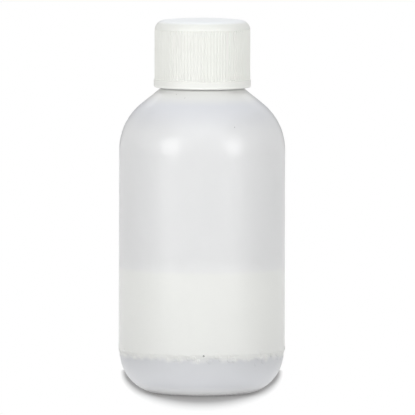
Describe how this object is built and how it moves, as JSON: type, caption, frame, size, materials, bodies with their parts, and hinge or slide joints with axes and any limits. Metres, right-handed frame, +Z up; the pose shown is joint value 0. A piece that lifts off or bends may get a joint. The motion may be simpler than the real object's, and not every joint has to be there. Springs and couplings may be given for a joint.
{
  "type": "reagent bottle",
  "caption": "Translucent round-shouldered plastic bottle with a finely ribbed screw cap and a foam liner, partly filled with a milky reagent; stores and pours laboratory liquid.",
  "frame": {"origin": "on the table under the centre of the bottle's standing ring", "axes": "+Z up along the bottle's axis, towards the cap; +X along the pinch weld under the base"},
  "size_m": [0.039, 0.039, 0.0883],
  "materials": {
    "translucent_polyethylene": "natural translucent low-density polyethylene, blow-moulded, satin",
    "white_polypropylene": "white injection-moulded polypropylene, semi-gloss",
    "liner_foam": "white closed-cell polyethylene foam",
    "milky_reagent": "opaque white aqueous suspension with a wet surface"
  },
  "bodies": {
    "bottle": {"bottle": "translucent_polyethylene", "reagent_fill": "milky_reagent"},
    "liner": {"cap_liner": "liner_foam"},
    "cap": {"screw_cap": "white_polypropylene"}
  },
  "joints": [
    {"name": "cap_rise", "type": "slide", "parent": "bottle", "child": "liner", "axis": [0, 0, 1], "range_m": [0, 0.03175]},
    {"name": "cap_turn", "type": "hinge", "parent": "liner", "child": "cap", "pos_m": [0, 0, 0.0866], "axis": [0, 0, 1], "range_deg": [0, 3600]}
  ],
  "couplings": [
    {"joint": "cap_rise", "follows": "cap_turn", "m_per_rad": 0.00050532}
  ]
}
